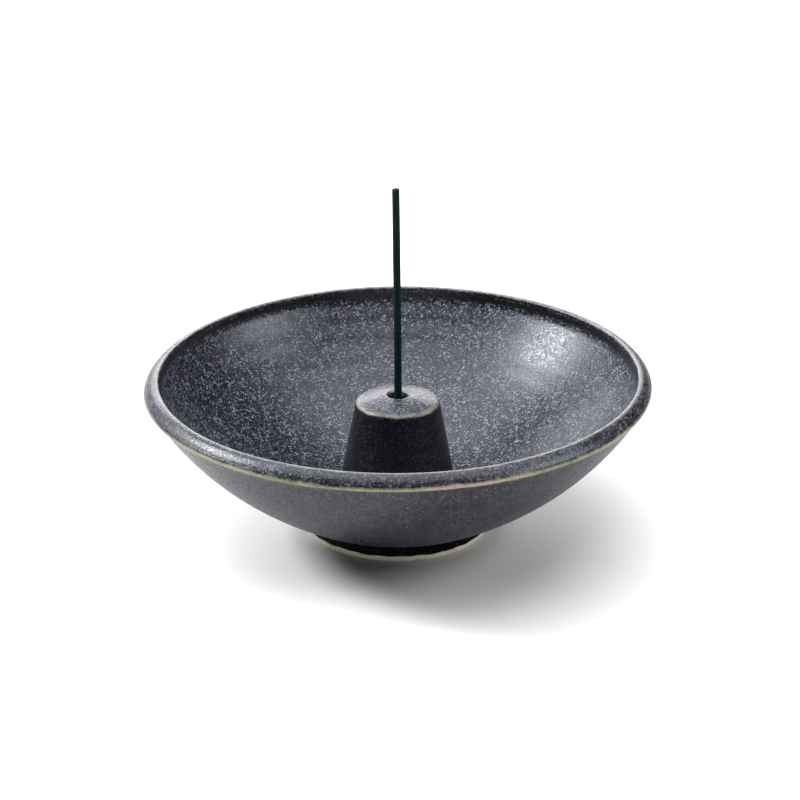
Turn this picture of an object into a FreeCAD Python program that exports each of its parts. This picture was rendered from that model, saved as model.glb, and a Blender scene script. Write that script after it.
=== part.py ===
"""Stoneware incense burner: a flared dish on a turned foot ring, with a cone in it that holds one stick.

Lengths are in millimetres. +Z is up, and the origin is the centre of the face that the foot stands on.
Each clay piece is turned about Z, so its outline lies in its body's XZ plane, with X as the radius.
"""

import FreeCAD
import Part
import Sketcher

import math
import os

SHEET = "Sizes"
SIZES = {
    "foot_radius": (28.7, "outside of the foot ring"),
    "foot_bore": (23.4, "inside of the foot ring"),
    "foot_round": (0.7, "rounding of the foot's two lower edges"),
    "foot_fillet": (2.4, "hollow curve where the foot meets the belly"),
    "joint_edge": (0.4, "blunt edge that a joining fillet ends in"),
    "base_height": (7.0, "underside of the dish, inside the foot"),
    "base_radius": (33.2, "where the belly starts, just outside the foot"),
    "belly_low_round": (126.0, "radius of the lower belly"),
    "belly_radius": (53.25, "where the lower belly passes into the upper one"),
    "belly_height": (19.3, "height of that place"),
    "ridge_radius": (80.0, "the dish's widest circle, the crest of the ridge"),
    "ridge_height": (48.2, "height of that circle"),
    "ridge_round": (1.0, "rounding of the ridge"),
    "ridge_rise": (0.8, "how far the ridge's rounding reaches above its crest"),
    "ridge_above": (0.4, "how far inside the crest it ends there"),
    "ridge_drop": (0.98, "how far the ridge's rounding reaches below its crest"),
    "ridge_below": (0.8, "how far inside the crest it ends there"),
    "collar_round": (4.1, "full curve of the collar, from the ridge to the rim's top"),
    "rim_radius": (75.9, "top of the rim"),
    "rim_height": (51.25, "height of that circle"),
    "lip_radius": (74.92, "where the lip passes into the wall inside"),
    "lip_height": (50.46, "height of that place"),
    "throat_radius": (74.37, "foot of the steep wall under the lip, inside"),
    "throat_height": (47.95, "height of that place"),
    "shoulder_radius": (72.9, "where the inside takes up its even slope"),
    "shoulder_height": (45.0, "height of that place"),
    "inside_radius": (50.4, "where the upper inside passes into the lower one"),
    "inside_height": (23.1, "height of that place"),
    "floor_radius": (23.0, "flat floor that the holder stands on"),
    "floor_height": (12.5, "height of that floor"),
    "holder_fillet": (4.3, "hollow curve around the holder's base"),
    "holder_base_radius": (22.1, "outside of that curve"),
    "holder_low_radius": (17.87, "where the curve passes into the flank"),
    "holder_low_rise": (3.92, "height of that place above the floor"),
    "holder_high_radius": (13.35, "top of the flank"),
    "holder_high_rise": (28.7, "height of that place above the floor"),
    "holder_edge_radius": (12.17, "where the rounded edge passes into the crown"),
    "holder_edge_rise": (30.07, "height of that place above the floor"),
    "holder_rise": (32.2, "middle of the crown above the floor"),
    "mouth_radius": (3.3, "mouth of the socket"),
    "mouth_depth": (1.6, "straight part of the mouth, below the crown's middle"),
    "funnel_depth": (8.0, "where the funnel ends, below the crown's middle"),
    "socket_radius": (1.45, "socket that the stick stands in"),
    "socket_depth": (20.0, "bottom of the socket, below the crown's middle"),
    "stick_radius": (1.2, "the stick"),
    "stick_length": (88.0, "the stick from end to end"),
    "stick_edge": (0.15, "worn edge at both ends of the stick"),
    "stick_gap": (0.1, "gap under the stick"),
    "cutter_above": (2.0, "how far the socket's cutter reaches above the crown"),
}

AXIS = ""
GROUND = ""
LEFT = 1
RIGHT = -1


def length(sum_of_sizes):
    """Value of a sum such as "floor_height + holder_rise - socket_depth"."""
    total = 0.0
    sign = 1
    for word in sum_of_sizes.split():
        if word in ("+", "-"):
            sign = 1 if word == "+" else -1
        else:
            total += sign * SIZES[word][0]
    return total


def bound(sum_of_sizes):
    """The same sum as an expression on the sheet."""
    words = sum_of_sizes.split()
    return " ".join(word if word in ("+", "-") else f"{SHEET}.{word}" for word in words)


def make_sheet(doc):
    sheet = doc.addObject("Spreadsheet::Sheet", SHEET)
    for row, (name, (value, meaning)) in enumerate(SIZES.items(), start=1):
        sheet.set(f"A{row}", name)
        sheet.set(f"B{row}", str(value))
        sheet.setAlias(f"B{row}", name)
        sheet.set(f"C{row}", meaning)
    doc.recompute()


def make_body(doc, name):
    body = doc.addObject("PartDesign::Body", name)
    body.Label = name
    return body


def make_sketch(body, name, plane):
    """Empty sketch on one of the body's own origin planes."""
    sketch = body.newObject("Sketcher::SketchObject", name)
    origin = {feature.Role: feature for feature in body.Origin.OriginFeatures}
    sketch.AttachmentSupport = [(origin[plane], "")]
    sketch.MapMode = "FlatFace"
    return sketch


class Outline:
    """Closed outline in the XZ plane. Each corner's radius and height are sums of sizes.

    AXIS as a radius puts a corner on the axis, and GROUND as a height puts it on the ground.
    """

    def __init__(self, body, name, radius, height):
        self.sketch = make_sketch(body, name, "XZ_Plane")
        self.first = (radius, height)
        self.corner = self.first
        self.edge = None
        self.start = None

    def place(self, corner):
        radius, height = corner
        return FreeCAD.Vector(length(radius), length(height), 0)

    def add(self, geometry, begins, ends, corner, smooth):
        """Add one edge, join it to the edge before and hold its far end at the corner."""
        number = self.sketch.addGeometry(geometry, False)
        if self.edge is None:
            self.start = (number, begins)
            self.hold(number, begins, self.corner)
        else:
            relation = "Tangent" if smooth else "Coincident"
            self.sketch.addConstraint(Sketcher.Constraint(relation, *self.edge, number, begins))
        self.edge = (number, ends)
        self.corner = corner
        if corner == self.first:
            self.sketch.addConstraint(Sketcher.Constraint("Coincident", number, ends, *self.start))
        else:
            self.hold(number, ends, corner)
        return number

    def hold(self, number, end, corner):
        radius, height = corner
        if radius == AXIS:
            self.sketch.addConstraint(Sketcher.Constraint("PointOnObject", number, end, -2))
        else:
            self.measure("DistanceX", number, end, radius)
        if height == GROUND:
            self.sketch.addConstraint(Sketcher.Constraint("PointOnObject", number, end, -1))
        else:
            self.measure("DistanceY", number, end, height)

    def measure(self, kind, number, end, size):
        constraint = Sketcher.Constraint(kind, -1, 1, number, end, length(size))
        index = self.sketch.addConstraint(constraint)
        self.sketch.setExpression(f"Constraints[{index}]", bound(size))

    def line(self, radius, height):
        here = self.place(self.corner)
        corner = (radius, height)
        self.add(Part.LineSegment(here, self.place(corner)), 1, 2, corner, False)
        return self

    def arc(self, radius, height, size, turn):
        """Arc of a given size that turns LEFT or RIGHT on its way to the next corner."""
        here = self.place(self.corner)
        corner = (radius, height)
        chord = self.place(corner) - here
        across = FreeCAD.Vector(-chord.y, chord.x, 0).normalize()
        inset = math.sqrt(length(size) ** 2 - (chord.Length / 2) ** 2)
        centre = here + chord * 0.5 + across * turn * inset
        number = self.add(*self.round(centre, corner, turn), corner, False)
        index = self.sketch.addConstraint(Sketcher.Constraint("Radius", number, length(size)))
        self.sketch.setExpression(f"Constraints[{index}]", bound(size))
        return self

    def smooth(self, radius, height):
        """Arc that leaves the edge before it without a corner."""
        here = self.place(self.corner)
        corner = (radius, height)
        chord = self.place(corner) - here
        heading = self.heading()
        across = FreeCAD.Vector(-heading.y, heading.x, 0)
        reach = chord.Length ** 2 / (2 * across.dot(chord))
        turn = LEFT if reach > 0 else RIGHT
        self.add(*self.round(here + across * reach, corner, turn), corner, True)
        return self

    def heading(self):
        """Direction of travel at the end of the last edge."""
        number, end = self.edge
        geometry = self.sketch.Geometry[number]
        if isinstance(geometry, Part.LineSegment):
            return (geometry.EndPoint - geometry.StartPoint).normalize()
        tangent = geometry.tangent(geometry.LastParameter if end == 2 else geometry.FirstParameter)[0]
        return tangent if end == 2 else -tangent

    def round(self, centre, corner, turn):
        """Arc from the current corner to the next, and which of its ends is which."""
        out = self.place(self.corner) - centre
        back = self.place(corner) - centre
        circle = Part.Circle(centre, FreeCAD.Vector(0, 0, 1), out.Length)
        angles = [math.atan2(out.y, out.x), math.atan2(back.y, back.x)]
        if turn == RIGHT:
            angles.reverse()
        if angles[1] < angles[0]:
            angles[1] += 2 * math.pi
        ends = (1, 2) if turn == LEFT else (2, 1)
        return Part.ArcOfCircle(circle, *angles), *ends

    def close(self):
        return self.line(*self.first).sketch


def turn_solid(body, name, sketch):
    """Turn the outline a full circle about Z."""
    solid = body.newObject("PartDesign::Revolution", name)
    solid.Profile = sketch
    solid.ReferenceAxis = (sketch, ["V_Axis"])
    solid.Angle = 360
    sketch.Visibility = False
    return solid


def make_bowl(doc):
    """Dish from the underside inside the foot, up the belly, over ridge and lip, and down the inside."""
    body = make_body(doc, "bowl")
    outline = Outline(body, "bowl_outline", AXIS, "base_height")
    outline.line("base_radius", "base_height")
    outline.arc("belly_radius", "belly_height", "belly_low_round", LEFT)
    outline.smooth("ridge_radius - ridge_below", "ridge_height - ridge_drop")
    outline.arc("ridge_radius - ridge_above", "ridge_height + ridge_rise", "ridge_round", LEFT)
    outline.arc("rim_radius", "rim_height", "collar_round", LEFT)
    outline.smooth("lip_radius", "lip_height")
    outline.line("throat_radius", "throat_height")
    outline.smooth("shoulder_radius", "shoulder_height")
    outline.smooth("inside_radius", "inside_height")
    outline.smooth("floor_radius", "floor_height")
    outline.line(AXIS, "floor_height")
    turn_solid(body, "bowl_solid", outline.close())
    return body


def make_foot_ring(doc):
    """Foot ring: level below, with a hollow curve outside where it meets the belly."""
    body = make_body(doc, "foot_ring")
    outline = Outline(body, "foot_outline", "foot_bore + foot_round", GROUND)
    outline.line("foot_radius - foot_round", GROUND)
    outline.arc("foot_radius", "foot_round", "foot_round", LEFT)
    outline.line("foot_radius", "base_height - joint_edge - foot_fillet")
    outline.arc("foot_radius + foot_fillet", "base_height - joint_edge", "foot_fillet", RIGHT)
    outline.line("foot_radius + foot_fillet", "base_height")
    outline.line("foot_bore", "base_height")
    outline.line("foot_bore", "foot_round")
    outline.arc("foot_bore + foot_round", GROUND, "foot_round", LEFT)
    turn_solid(body, "foot_solid", outline.sketch)
    return body


def make_stick_holder(doc):
    """Cone with a low crown, luted to the dish's floor, and the funnel and socket cut into it."""
    body = make_body(doc, "stick_holder")
    outline = Outline(body, "holder_outline", AXIS, "floor_height")
    outline.line("holder_base_radius", "floor_height")
    outline.line("holder_base_radius", "floor_height + joint_edge")
    outline.arc("holder_low_radius", "floor_height + holder_low_rise", "holder_fillet", RIGHT)
    outline.line("holder_high_radius", "floor_height + holder_high_rise")
    outline.smooth("holder_edge_radius", "floor_height + holder_edge_rise")
    outline.smooth(AXIS, "floor_height + holder_rise")
    turn_solid(body, "holder_solid", outline.close())
    doc.recompute()
    whole = body.Shape.Volume

    top = "floor_height + holder_rise"
    cutter = Outline(body, "socket_outline", AXIS, f"{top} + cutter_above")
    cutter.line(AXIS, f"{top} - socket_depth")
    cutter.line("socket_radius", f"{top} - socket_depth")
    cutter.line("socket_radius", f"{top} - funnel_depth")
    cutter.line("mouth_radius", f"{top} - mouth_depth")
    cutter.line("mouth_radius", f"{top} + cutter_above")
    socket = body.newObject("PartDesign::Groove", "socket")
    socket.Profile = cutter.close()
    socket.ReferenceAxis = (socket.Profile[0], ["V_Axis"])
    socket.Angle = 360
    doc.recompute()
    if body.Shape.Volume >= whole:
        raise SystemExit("the socket cut nothing")
    return body


def make_incense_stick(doc):
    """Coreless stick, standing in the socket just clear of its bottom."""
    body = make_body(doc, "incense_stick")
    sketch = make_sketch(body, "stick_outline", "XY_Plane")
    circle = Part.Circle(FreeCAD.Vector(), FreeCAD.Vector(0, 0, 1), length("stick_radius"))
    number = sketch.addGeometry(circle, False)
    sketch.addConstraint(Sketcher.Constraint("Coincident", number, 3, -1, 1))
    index = sketch.addConstraint(Sketcher.Constraint("Radius", number, length("stick_radius")))
    sketch.setExpression(f"Constraints[{index}]", bound("stick_radius"))

    rod = body.newObject("PartDesign::Pad", "stick_rod")
    rod.Profile = sketch
    rod.setExpression("Length", bound("stick_length"))
    sketch.Visibility = False
    doc.recompute()
    rims = [
        f"Edge{place}"
        for place, edge in enumerate(rod.Shape.Edges, start=1)
        if isinstance(edge.Curve, Part.Circle)
    ]
    worn = body.newObject("PartDesign::Fillet", "stick_ends")
    worn.Base = (rod, rims)
    worn.setExpression("Radius", bound("stick_edge"))

    seat = "floor_height + holder_rise - socket_depth + stick_gap"
    body.Placement = FreeCAD.Placement(FreeCAD.Vector(0, 0, length(seat)), FreeCAD.Rotation())
    body.setExpression(".Placement.Base.z", bound(seat))
    return body


def check(doc, bodies):
    for item in doc.Objects:
        if "Invalid" in item.State or "Error" in item.State:
            raise SystemExit(f"{item.Name} did not recompute: {item.State}")
        if item.TypeId == "Sketcher::SketchObject" and item.solve() != 0:
            raise SystemExit(f"{item.Name} did not solve")
    for body in bodies:
        shape = body.Shape
        if shape.isNull() or not shape.isValid() or len(shape.Solids) != 1:
            raise SystemExit(f"{body.Label} is not one valid solid")


def main():
    doc = FreeCAD.newDocument("incense_burner")
    make_sheet(doc)
    bodies = [
        make_bowl(doc),
        make_foot_ring(doc),
        make_stick_holder(doc),
        make_incense_stick(doc),
    ]
    doc.recompute()
    check(doc, bodies)
    os.makedirs("parts", exist_ok=True)
    for body in bodies:
        body.Shape.exportStep(f"parts/{body.Label}.step")


main()
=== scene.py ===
"""Incense burner in charcoal-glazed stoneware: a dish on a foot ring, with a cone that holds one stick.

All four pieces are turned about Z. Their outlines are written in millimetres, as radius and height.
"""

import math

import bpy
import numpy as np
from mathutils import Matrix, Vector


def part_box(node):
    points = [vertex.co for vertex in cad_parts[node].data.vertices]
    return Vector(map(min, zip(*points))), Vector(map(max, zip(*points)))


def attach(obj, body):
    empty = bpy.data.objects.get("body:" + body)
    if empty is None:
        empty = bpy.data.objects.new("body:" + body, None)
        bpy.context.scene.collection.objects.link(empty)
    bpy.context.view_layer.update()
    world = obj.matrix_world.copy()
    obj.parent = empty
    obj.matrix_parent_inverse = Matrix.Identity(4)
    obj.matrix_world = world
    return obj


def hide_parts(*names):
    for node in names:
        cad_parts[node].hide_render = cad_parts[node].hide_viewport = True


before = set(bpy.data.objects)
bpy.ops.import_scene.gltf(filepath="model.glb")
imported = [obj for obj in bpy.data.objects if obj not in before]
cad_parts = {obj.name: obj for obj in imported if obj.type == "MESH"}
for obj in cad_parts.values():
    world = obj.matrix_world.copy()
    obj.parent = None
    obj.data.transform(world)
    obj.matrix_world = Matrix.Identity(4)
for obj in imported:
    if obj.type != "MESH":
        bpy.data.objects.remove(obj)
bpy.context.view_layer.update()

MM = 0.001

LEFT = 1
RIGHT = -1

# The dish was thrown by hand: its rim leans (a slope) and sits a little to the right of its foot, and
# the ridge under the rim is lower at one side. The stick bends to the left at its top.
DISH_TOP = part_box("bowl")[1].z / MM
RIM_SHIFT = 0.2
FOOT_SHIFT = -0.1
RIM_LEAN = 0.0085
RIDGE_HEIGHT = 48.2
RIDGE_DROOP = 0.8
STICK_LEAN = 0.7

# Sides of the dish, as angles from the right, anticlockwise from above.
RINGS_SIDE = 2.3
DROOP_SIDE = 4.0
ROSY_FRONT = 4.97
ROSY_BACK = 1.9


# ---------------------------------------------------------------- turned shapes


class Outline:
    """Half section of a turned piece, followed with the piece on its left. Keeps the marked places."""

    def __init__(self, radius, height, step):
        self.points = [Vector((radius, height))]
        self.heading = None
        self.step = step
        self.length = 0.0
        self.marks = {}

    def steps_of(self, step):
        self.step = step
        return self

    def mark(self, name):
        self.marks[name] = self.length
        return self

    def line(self, radius, height):
        start = self.points[-1]
        end = Vector((radius, height))
        count = max(1, math.ceil((end - start).length / self.step))
        self.points += [start.lerp(end, k / count) for k in range(1, count + 1)]
        self.length += (end - start).length
        self.heading = (end - start).normalized()
        return self

    def arc(self, radius, height, size, turn):
        """Arc of a given radius, here called its size, that turns LEFT or RIGHT on its way."""
        start = self.points[-1]
        chord = Vector((radius, height)) - start
        across = Vector((-chord.y, chord.x)).normalized() * turn
        inset = math.sqrt(size**2 - (chord.length / 2) ** 2)
        return self.sweep(start + chord / 2 + across * inset, Vector((radius, height)), turn)

    def smooth(self, radius, height):
        """Arc that leaves the edge before it without a corner."""
        start = self.points[-1]
        chord = Vector((radius, height)) - start
        across = Vector((-self.heading.y, self.heading.x))
        reach = chord.length_squared / (2 * across.dot(chord))
        turn = LEFT if reach > 0 else RIGHT
        return self.sweep(start + across * reach, Vector((radius, height)), turn)

    def sweep(self, centre, end, turn):
        """Arc about a centre, from the last point to the end."""
        out = self.points[-1] - centre
        back = end - centre
        angle = (turn * (math.atan2(back.y, back.x) - math.atan2(out.y, out.x))) % math.tau
        count = max(2, math.ceil(angle * out.length / self.step))
        for k in range(1, count + 1):
            swing = turn * angle * k / count
            turned = Vector(
                (
                    out.x * math.cos(swing) - out.y * math.sin(swing),
                    out.x * math.sin(swing) + out.y * math.cos(swing),
                )
            )
            self.points.append(centre + turned)
        self.length += angle * out.length
        self.heading = Vector((-turned.y, turned.x)).normalized() * turn
        return self


def waver(around, seed, cycles, amount):
    """Smooth random wave around the piece, about as high as the amount, made of a few whole cycles."""
    pick = np.random.default_rng(seed)
    total = np.zeros_like(around)
    for cycle in cycles:
        total = total + np.sin(cycle * around + pick.uniform(0, math.tau)) * pick.uniform(0.5, 1.0)
    return total * amount / math.sqrt(len(cycles))


def hump(along, place, width):
    """Bell of height 1 at a place."""
    return np.exp(-(((along - place) / width) ** 2))


def rise(along, place, width):
    """Step from 0 to 1 at a place."""
    t = np.clip((along - place) / width + 0.5, 0.0, 1.0)
    return t * t * (3.0 - 2.0 * t)


def turn_mesh(name, outline, around_count, relief, fields):
    """Mesh of an outline turned about Z.

    relief(along, around) gives the surface's height over the outline in millimetres, from the way along
    the outline and the angle around Z. Each field is a function of the same two that is kept on the
    mesh for its material. An outline that closes on itself makes a ring, and any other one starts and
    ends on the axis.
    """
    section = np.array([tuple(point) for point in outline.points])
    closed = np.allclose(section[0], section[-1])
    if closed:
        section = section[:-1]
    chords = np.diff(section, axis=0)
    along = np.concatenate([[0.0], np.cumsum(np.hypot(chords[:, 0], chords[:, 1]))])
    if closed:
        travel = np.roll(section, -1, axis=0) - np.roll(section, 1, axis=0)
    else:
        travel = np.gradient(section, axis=0)
    travel /= np.hypot(travel[:, 0], travel[:, 1])[:, None]

    around = np.linspace(0.0, math.tau, around_count, endpoint=False)[None, :]
    along = along[:, None]
    shape = (len(section), around_count)
    height = np.broadcast_to(relief(along, around), shape)
    radius = section[:, 0:1] + travel[:, 1:2] * height
    level = section[:, 1:2] - travel[:, 0:1] * height
    spots = np.stack([radius * np.cos(around), radius * np.sin(around), level], axis=-1)
    spots = by_hand(spots)

    if closed:
        numbers = np.arange(radius.size).reshape(radius.shape)
        low, high = numbers, np.roll(numbers, -1, axis=0)
        fans = []
    else:
        numbers = np.arange(radius[1:-1].size).reshape(radius[1:-1].shape)
        low, high = numbers[:-1], numbers[1:]
        first, last = numbers.size, numbers.size + 1
        fans = [(first, after, here) for here, after in zip(numbers[0], np.roll(numbers[0], -1))]
        fans += [(here, after, last) for here, after in zip(numbers[-1], np.roll(numbers[-1], -1))]
    quads = np.stack([low, np.roll(low, -1, axis=1), np.roll(high, -1, axis=1), high], axis=-1)

    def kept(grid):
        """The grid's values as a list, with each end that lies on the axis as one point."""
        if closed:
            return grid.reshape(-1, *grid.shape[2:])
        inner = grid[1:-1].reshape(-1, *grid.shape[2:])
        return np.concatenate([inner, grid[0, :1], grid[-1, :1]])

    mesh = bpy.data.meshes.new(name)
    faces = quads.reshape(-1, 4).tolist() + [[int(number) for number in fan] for fan in fans]
    mesh.from_pydata((kept(spots) * MM).tolist(), [], faces)
    for field, value in fields.items():
        values = kept(np.broadcast_to(value(along, around), shape)).astype(np.float32)
        mesh.attributes.new(field, "FLOAT", "POINT").data.foreach_set("value", values)
    mesh.shade_smooth()
    piece = bpy.data.objects.new(name, mesh)
    bpy.context.scene.collection.objects.link(piece)
    return piece


def by_hand(spots):
    """Move points of the perfect shape to where the hand-thrown dish has them."""
    share = np.clip(spots[..., 2] / DISH_TOP, 0.0, 1.0)
    radius = np.hypot(spots[..., 0], spots[..., 1])
    around = np.arctan2(spots[..., 1], spots[..., 0])
    ridge = hump(spots[..., 2], RIDGE_HEIGHT, 2.2) * rise(radius, 77.2, 1.6)
    droop = RIDGE_DROOP * ridge * np.cos((around - DROOP_SIDE) / 2) ** 2
    moved = spots.copy()
    moved[..., 0] += FOOT_SHIFT + (RIM_SHIFT - FOOT_SHIFT) * share
    moved[..., 2] += RIM_LEAN * share * spots[..., 0] - droop
    return moved


# ---------------------------------------------------------------- materials


def colour(red, green, blue):
    """Screen colour, 0 to 255, as the linear colour that a shader takes."""
    linear = []
    for part in (red, green, blue):
        part /= 255
        linear.append(part / 12.92 if part <= 0.04045 else ((part + 0.055) / 1.055) ** 2.4)
    return (*linear, 1.0)


class Finish:
    """A material and short names for the nodes that it is made of. Lengths are in millimetres."""

    def __init__(self, name):
        self.material = bpy.data.materials.new(name)
        self.material.use_nodes = True
        self.tree = self.material.node_tree
        self.shader = self.tree.nodes["Principled BSDF"]
        place = self.tree.nodes.new("ShaderNodeTexCoord").outputs["Object"]
        self.place = self.vector("SCALE", place, scale=1 / MM)

    def put(self, socket, value):
        """Link a socket to the value, or set it where the value is a constant."""
        if isinstance(value, bpy.types.NodeSocket):
            self.tree.links.new(value, socket)
        else:
            socket.default_value = value

    def set(self, name, value):
        self.put(self.shader.inputs[name], value)

    def math(self, operation, *values):
        node = self.tree.nodes.new("ShaderNodeMath")
        node.operation = operation
        for socket, value in zip(node.inputs, values):
            self.put(socket, value)
        return node.outputs[0]

    def vector(self, operation, *values, scale=None):
        node = self.tree.nodes.new("ShaderNodeVectorMath")
        node.operation = operation
        for socket, value in zip(node.inputs, values):
            self.put(socket, value)
        if scale is not None:
            self.put(node.inputs["Scale"], scale)
        return node.outputs[0]

    def field(self, name):
        """Value that the mesh keeps under this name, 0 where it keeps none."""
        node = self.tree.nodes.new("ShaderNodeAttribute")
        node.attribute_name = name
        return node.outputs["Fac"]

    def noise(self, size, detail=2.0, at=None):
        """Cloudy pattern from 0 to 1 whose patches are about as wide as size."""
        node = self.tree.nodes.new("ShaderNodeTexNoise")
        self.put(node.inputs["Vector"], at or self.place)
        node.inputs["Scale"].default_value = 0.5 / size
        node.inputs["Detail"].default_value = detail
        return node.outputs["Fac"]

    def grains(self, size, at=None):
        """Cells about as wide as size: how far the point is from its grain, and the grain's own number."""
        node = self.tree.nodes.new("ShaderNodeTexVoronoi")
        self.put(node.inputs["Vector"], at or self.place)
        node.inputs["Scale"].default_value = 1 / size
        parts = self.tree.nodes.new("ShaderNodeSeparateColor")
        self.tree.links.new(node.outputs["Color"], parts.inputs[0])
        return node.outputs["Distance"], parts.outputs["Red"]

    def warped(self, size, amount):
        """The place, pushed about by a pattern, so that grains lose their regular shape."""
        node = self.tree.nodes.new("ShaderNodeTexNoise")
        self.put(node.inputs["Vector"], self.place)
        node.inputs["Scale"].default_value = 0.5 / size
        push = self.vector("SUBTRACT", node.outputs["Color"], (0.5, 0.5, 0.5))
        return self.vector("ADD", self.place, self.vector("SCALE", push, scale=amount))

    def between(self, value, low, high):
        """0 where the value is under low and 1 where it is over high, with a soft change."""
        node = self.tree.nodes.new("ShaderNodeMapRange")
        node.interpolation_type = "SMOOTHSTEP"
        self.put(node.inputs["Value"], value)
        self.put(node.inputs["From Min"], low)
        self.put(node.inputs["From Max"], high)
        return node.outputs["Result"]

    def blend(self, factor, first, second):
        """Number or colour that goes from the first to the second with the factor."""
        node = self.tree.nodes.new("ShaderNodeMix")
        sample = second if isinstance(second, bpy.types.NodeSocket) else first
        if isinstance(sample, bpy.types.NodeSocket):
            is_colour = sample.type == "RGBA"
        else:
            is_colour = isinstance(sample, tuple)
        node.data_type = "RGBA" if is_colour else "FLOAT"
        start, result = (6, 2) if is_colour else (2, 0)  # places of the sockets of each type
        self.put(node.inputs[0], factor)
        self.put(node.inputs[start], first)
        self.put(node.inputs[start + 1], second)
        return node.outputs[result]

    def bump(self, height, depth):
        """Fine relief, as deep as depth where the height is 1."""
        node = self.tree.nodes.new("ShaderNodeBump")
        self.put(node.inputs["Height"], height)
        node.inputs["Distance"].default_value = depth * MM
        self.set("Normal", node.outputs["Normal"])


def make_glaze():
    """Near-black satin glaze, full of fine crystals, that breaks pale where it runs thin over edges.

    The mesh says where the glaze is speckled with crystals, pooled or thin, and where a thin place is
    grey (lip) or rosy instead of olive.
    """
    glaze = Finish("charcoal_glaze")
    speckled = glaze.field("speckled")
    pooled = glaze.field("pooled")
    bent = glaze.warped(0.6, 0.7)
    distance, number = glaze.grains(0.62, at=bent)
    small_distance, small_number = glaze.grains(0.36, at=bent)

    tone = glaze.blend(glaze.noise(9.0, detail=3.0), colour(16, 18, 28), colour(30, 32, 44))
    tone = glaze.blend(speckled, colour(4, 6, 14), tone)

    crystal = glaze.math("MULTIPLY", glaze.between(number, 0.42, 0.95), glaze.between(distance, 0.7, 0.25))
    crystal = glaze.math("MULTIPLY", crystal, glaze.between(glaze.noise(1.8, detail=3.0), 0.24, 0.56))
    crystal = glaze.math("MULTIPLY", crystal, speckled)
    tone = glaze.blend(crystal, tone, colour(134, 135, 147))

    dust = glaze.between(small_number, 0.6, 0.98)
    dust = glaze.math("MULTIPLY", dust, glaze.between(small_distance, 0.62, 0.3))
    dust = glaze.math("MULTIPLY", dust, speckled)
    tone = glaze.blend(dust, tone, colour(98, 99, 112))

    tone = glaze.blend(pooled, tone, colour(27, 29, 24))

    grainy = glaze.math("ADD", glaze.noise(0.7, detail=4.0), glaze.math("MULTIPLY", glaze.noise(2.6), 0.8))
    worn = glaze.math("ADD", glaze.field("thin"), glaze.math("MULTIPLY", grainy, 0.7))
    worn = glaze.math("MULTIPLY", glaze.between(worn, 0.76, 1.66), 0.92)
    pale = glaze.blend(glaze.field("rosy"), colour(148, 152, 116), colour(168, 154, 138))
    pale = glaze.blend(glaze.field("lip"), pale, colour(134, 136, 134))
    glaze.set("Base Color", glaze.blend(worn, tone, pale))

    rough = glaze.blend(number, 0.26, 0.46)
    rough = glaze.blend(glaze.math("MAXIMUM", crystal, worn), rough, 0.6)
    glaze.set("Roughness", glaze.blend(pooled, rough, 0.3))
    glaze.set("IOR", 1.52)
    glaze.set("Specular Tint", (0.91, 0.93, 1.0, 1.0))

    surface = glaze.math("ADD", glaze.noise(0.32, detail=3.0), glaze.math("MULTIPLY", number, 0.22))
    surface = glaze.math("ADD", surface, glaze.math("MULTIPLY", crystal, 0.2))
    calm = glaze.math("SUBTRACT", 1.0, glaze.math("MULTIPLY", pooled, 0.85))
    glaze.bump(glaze.math("MULTIPLY", surface, calm), 0.085)
    return glaze.material


def make_clay():
    """Bare stoneware of the foot with iron specks, and the charcoal glaze where the mesh says glazed. That
    glaze is painted darker than on the dish, as painted shade under the bowl.
    """
    clay = Finish("bare_clay")
    sand = clay.noise(0.5, detail=4.0)
    tone = clay.blend(sand, colour(232, 224, 206), colour(248, 243, 230))
    speck_distance, speck = clay.grains(0.8)
    iron = clay.math("MULTIPLY", clay.between(speck, 0.9, 0.97), clay.between(speck_distance, 0.5, 0.2))
    tone = clay.blend(iron, tone, colour(96, 70, 48))

    glazed = clay.field("glazed")
    distance, number = clay.grains(0.5, at=clay.warped(0.5, 0.5))
    # The foot's charcoal glaze is painted near-black. This is painted shade from the bowl overhead, darker
    # than the same glaze on the dish. Its crystal flecks are real.
    glaze_in_painted_shade = clay.blend(clay.noise(1.6, detail=3.0), colour(4, 5, 7), colour(9, 10, 13))
    flecks = clay.math("MULTIPLY", clay.between(number, 0.88, 0.98), clay.between(distance, 0.5, 0.2))
    glaze_in_painted_shade = clay.blend(flecks, glaze_in_painted_shade, colour(96, 96, 104))
    edge = clay.blend(clay.noise(6.0), colour(150, 148, 92), colour(160, 128, 92))
    tone = clay.blend(clay.between(glazed, 0.12, 0.4), tone, edge)
    tone = clay.blend(clay.between(glazed, 0.55, 0.9), tone, glaze_in_painted_shade)
    clay.set("Base Color", tone)
    clay.set("Roughness", clay.blend(clay.between(glazed, 0.4, 0.8), 0.85, 0.45))
    clay.set("IOR", 1.5)
    clay.set("Specular IOR Level", 0.15)
    clay.bump(clay.noise(0.35, detail=4.0), 0.05)
    return clay.material


def make_paste():
    """Dark green incense paste, pressed through a die and dried."""
    paste = Finish("incense_paste")
    grain = paste.noise(0.25, detail=4.0)
    stretched = paste.vector("MULTIPLY", paste.place, (1.0, 1.0, 0.12))
    streaks = paste.noise(0.3, at=stretched)
    tone = paste.blend(streaks, colour(2, 21, 21), colour(7, 39, 37))
    tone = paste.blend(paste.between(grain, 0.55, 0.75), tone, colour(26, 78, 70))
    paste.set("Base Color", tone)
    paste.set("Roughness", paste.blend(grain, 0.7, 0.9))
    paste.set("Specular IOR Level", 0.25)
    paste.bump(paste.math("ADD", grain, streaks), 0.04)
    return paste.material


# ---------------------------------------------------------------- pieces


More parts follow.
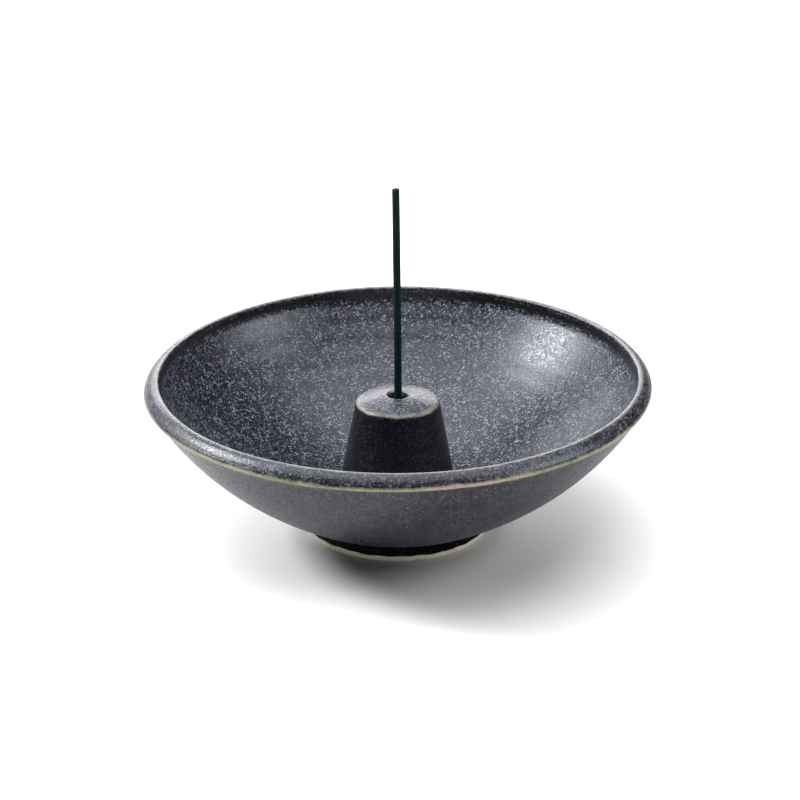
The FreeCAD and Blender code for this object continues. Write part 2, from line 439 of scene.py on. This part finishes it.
def make_bowl():
    """Dish with throwing rings, a ridge where the glaze runs thin, a collar, and a lip over the inside."""
    outline = Outline(0.0, 7.0, 1.2)
    outline.line(31.3, 7.0).smooth(35.0, 7.91)
    outline.arc(53.25, 19.3, 126.0, LEFT)
    outline.smooth(78.75, 47.2)
    outline.steps_of(0.22).mark("ridge_low")
    outline.arc(79.2, 48.8, 1.2, LEFT).mark("ridge_high")
    outline.arc(78.9, 49.25, 0.6, LEFT)
    outline.arc(75.65, 51.15, 4.9, LEFT).mark("rim")
    outline.smooth(74.75, 50.35).mark("lip")
    outline.line(74.2, 47.95).mark("throat")
    outline.smooth(73.35, 46.0).steps_of(0.85).mark("shoulder")
    outline.smooth(50.4, 23.1)
    outline.smooth(23.0, 12.5)
    outline.line(0.0, 12.5)
    at = outline.marks

    def crest(around):
        """Crest of the ridge, which wavers on its way around."""
        return (at["ridge_low"] + at["ridge_high"]) / 2 + waver(around, 5, (7, 11, 17, 23), 0.12)

    def collar(along):
        return rise(along, at["ridge_high"] + 0.3, 0.8) * (1.0 - rise(along, at["lip"], 0.8))

    def relief(along, around):
        inside = rise(along, at["shoulder"] + 3.0, 5.0)
        spiral = np.sin(math.tau * (along / 7.3) + around)
        strength = 0.25 + 0.75 * np.cos((around - RINGS_SIDE) / 2) ** 4
        inner_rings = 0.065 * inside * spiral * strength
        outside = rise(along, 42.0, 10.0) * (1.0 - rise(along, at["ridge_low"] - 3.0, 2.0))
        wandering = math.tau * along / 3.1 + 0.5 * np.sin(along / 4.0) + around
        outer_rings = 0.03 * outside * np.sin(wandering)
        groove = -0.01 * hump(along, at["ridge_high"] + 0.2, 0.3)
        swell = 0.12 * hump(along, crest(around), 0.7) * (1.0 + waver(around, 6, (5, 9, 14), 0.5))
        under = -0.08 * hump(along, at["ridge_low"] - 1.2, 1.2)
        unround = hump(along, at["rim"], 20.0) * waver(around, 9, (2, 3, 5), 0.12)
        return inner_rings + outer_rings + groove + swell + under + unround

    def thin(along, around):
        middle = crest(around)
        width = np.where(along < middle, 1.5, 1.0) + waver(around, 8, (6, 13, 21), 0.2)
        ridge = hump(along, middle, width) * (0.8 + waver(around, 10, (4, 7, 12), 0.14))
        edge = hump(along, at["rim"] + 0.15, 0.85) * (0.64 + waver(around, 11, (5, 8, 13), 0.08))
        return np.maximum(np.maximum(ridge, 0.19 * collar(along)), edge)

    def lip(along, around):
        return np.maximum(0.75 * collar(along), hump(along, at["rim"] + 0.15, 0.9))

    def rosy(along, around):
        front = rise(np.cos(around - ROSY_FRONT), 0.98, 0.03)
        back = rise(np.cos(around - ROSY_BACK), 0.9, 0.15)
        return front + 0.7 * back

    def pooled(along, around):
        drip = at["throat"] - 0.3 + waver(around, 4, (3, 8, 13), 0.4)
        under_lip = rise(along, at["lip"] + 0.9, 1.0) * (1.0 - rise(along, drip, 1.4))
        groove = 0.15 * hump(along, at["ridge_high"] + 0.25, 0.25)
        return np.maximum(under_lip, groove)

    def speckled(along, around):
        return 0.5 + 0.5 * rise(along, at["throat"], 2.0)

    fields = {"thin": thin, "lip": lip, "rosy": rosy, "pooled": pooled, "speckled": speckled}
    return turn_mesh("dish_bowl", outline, 400, relief, fields)


def make_foot():
    """Foot ring, bare where it rests and glazed above a wavering edge."""
    outline = Outline(24.1, 0.0, 0.25)
    outline.line(28.0, 0.0).arc(28.7, 0.7, 0.7, LEFT).mark("wall")
    outline.line(28.7, 4.2).arc(31.1, 6.6, 2.4, RIGHT).line(31.1, 7.3)
    outline.steps_of(1.0).line(23.4, 7.3)
    outline.steps_of(0.3).line(23.4, 0.7).mark("bore_foot").arc(24.1, 0.0, 0.7, LEFT)
    at = outline.marks

    def glazed(along, around):
        edge = at["wall"] + 1.2 + waver(around, 12, (3, 5, 9, 16, 27), 0.22)
        inner = at["bore_foot"] - 1.6 + waver(around, 13, (3, 5, 9, 16), 0.3)
        return rise(along, edge, 0.5) * (1.0 - rise(along, inner, 0.5))

    def relief(along, around):
        turned = 0.012 * np.sin(math.tau * along / 0.9)
        return 0.14 * glazed(along, around) + turned * rise(along, at["wall"], 1.0)

    return turn_mesh("dish_foot", outline, 320, relief, {"glazed": glazed})


def make_holder():
    """Cone with a low crown, and a funnel down to the socket that the stick stands in."""
    outline = Outline(0.0, 12.2, 0.6)
    outline.line(22.1, 12.2).line(22.1, 12.6)
    outline.arc(17.87, 16.42, 4.3, RIGHT).mark("base")
    outline.line(13.35, 41.2).steps_of(0.2).mark("flank")
    outline.smooth(12.17, 42.57).mark("edge")
    outline.smooth(4.1, 44.45).mark("crown")
    outline.arc(3.15, 43.6, 0.9, LEFT).mark("mouth")
    outline.line(3.15, 42.9).steps_of(0.6)
    outline.line(1.45, 36.7).line(1.45, 24.7).line(0.0, 24.7)
    at = outline.marks

    def relief(along, around):
        flank = rise(along, at["base"], 3.0) * (1.0 - rise(along, at["flank"] - 2.0, 2.0))
        rings = 0.04 * flank * np.sin(math.tau * along / 4.3 + around)
        unround = hump(along, at["edge"], 8.0) * waver(around, 21, (2, 3, 5), 0.12)
        return rings + unround

    def thin(along, around):
        middle = (at["flank"] + at["edge"]) / 2 + 0.1 + waver(around, 22, (4, 9, 15), 0.15)
        shoulder = hump(along, middle, np.where(along < middle, 0.8, 1.25))
        mouth = hump(along, (at["crown"] + at["mouth"]) / 2, 0.5)
        return np.maximum(shoulder * (0.62 + waver(around, 23, (3, 7, 12), 0.1)), mouth * 0.66)

    def lip(along, around):
        return 0.45

    def speckled(along, around):
        return 0.12 + 0.68 * rise(along, at["edge"], 1.0)

    def pooled(along, around):
        return rise(along, at["mouth"] + 0.8, 0.8) * 0.9

    fields = {"thin": thin, "lip": lip, "pooled": pooled, "speckled": speckled}
    return turn_mesh("dish_holder", outline, 240, relief, fields)


def make_stick():
    """Pressed rod, rounded at its top, with faint lengthwise ridges from the die and a slight bend."""
    low, high = (corner.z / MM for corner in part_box("incense_stick"))
    outline = Outline(0.0, low, 0.3)
    outline.line(1.05, low).arc(1.2, low + 0.15, 0.15, LEFT)
    outline.steps_of(0.8).line(1.2, high - 0.35)
    outline.steps_of(0.12).arc(0.8, high - 0.05, 0.42, LEFT).line(0.0, high - 0.05)

    def relief(along, around):
        ridges = waver(around, 31, (5, 8, 13), 0.018)
        lumps = waver(around + along / 9.0, 32, (1, 2, 3), 0.02) * np.sin(along / 3.7)
        return ridges + lumps - 0.02

    stick = turn_mesh("stick_rod", outline, 48, relief, {})
    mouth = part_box("stick_holder")[1].z
    for point in stick.data.vertices:
        above = max(0.0, point.co.z - mouth) / (high * MM - mouth)
        point.co.x -= STICK_LEAN * MM * above**1.3
    return stick


GLAZE = make_glaze()
CLAY = make_clay()
PASTE = make_paste()

for piece, node, body, slot, finish in (
    (make_bowl(), "bowl", "dish", "charcoal_glaze", GLAZE),
    (make_foot(), "foot_ring", "dish", "bare_clay", CLAY),
    (make_holder(), "stick_holder", "dish", "charcoal_glaze", GLAZE),
    (make_stick(), "incense_stick", "stick", "incense_paste", PASTE),
):
    piece.data.materials.append(finish)
    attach(piece, body)
    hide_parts(node)


# ---------------------------------------------------------------- floor, light and camera


def make_floor():
    """Plain pale paper that fills the camera's view."""
    mesh = bpy.data.meshes.new("floor")
    corners = [(-3, -3, 0), (3, -3, 0), (3, 6, 0), (-3, 6, 0)]
    mesh.from_pydata(corners, [], [(0, 1, 2, 3)])
    floor = bpy.data.objects.new("floor", mesh)
    bpy.context.scene.collection.objects.link(floor)
    paper = Finish("paper")
    paper.set("Base Color", paper.blend(paper.noise(60.0), colour(222, 222, 222), colour(226, 226, 226)))
    paper.set("Roughness", 0.9)
    mesh.materials.append(paper.material)


def aim(thing, spot):
    thing.rotation_euler = (spot - thing.location).to_track_quat("-Z", "Y").to_euler()


def make_light(name, bearing, height, distance, width, depth, power):
    """Soft rectangular light, aimed at the dish.

    Its bearing runs anticlockwise from the right, and its height is the angle above the floor.
    """
    data = bpy.data.lights.new(name, "AREA")
    data.shape = "RECTANGLE"
    data.size = width
    data.size_y = depth
    data.energy = power
    light = bpy.data.objects.new(name, data)
    turn, lift = math.radians(bearing), math.radians(height)
    toward = Vector((math.cos(lift) * math.cos(turn), math.cos(lift) * math.sin(turn), math.sin(lift)))
    light.location = toward * distance
    aim(light, Vector((0, 0, 0.03)))
    bpy.context.scene.collection.objects.link(light)


def make_camera():
    """Camera 1.2 m from the middle of the foot and 24.9 degrees above the floor, aimed at the dish."""
    distance = 1.2
    height = math.radians(24.9)
    spot = Vector((0.0008, 0.0, 0.0425))
    data = bpy.data.cameras.new("camera")
    data.lens = 169.8
    data.clip_start = 0.05
    camera = bpy.data.objects.new("camera", data)
    camera.location = (spot.x, -distance * math.cos(height), distance * math.sin(height))
    aim(camera, spot)
    bpy.context.scene.collection.objects.link(camera)
    bpy.context.scene.camera = camera


def make_world():
    """Almost dark room, so that the lights alone show in the glaze."""
    world = bpy.data.worlds.new("studio")
    world.use_nodes = True
    world.node_tree.nodes["Background"].inputs["Color"].default_value = (0.012, 0.012, 0.013, 1.0)
    bpy.context.scene.world = world


make_floor()
make_light("key", 171, 37, 1.5, 0.36, 0.36, 22.0)
make_light("back", 100, 22, 1.6, 1.6, 0.5, 17.0)
make_light("back_left", 150, 19, 1.6, 0.6, 0.5, 2.0)
make_light("top", 150, 84, 1.6, 2.2, 2.2, 46.0)
make_light("right", 346, 35, 1.5, 0.8, 0.6, 11.5)
make_light("front", 270, 4, 1.7, 1.6, 0.16, 3.0)
make_camera()
make_world()
bpy.context.scene.view_settings.view_transform = "Standard"
bpy.context.scene.view_settings.look = "Medium High Contrast"
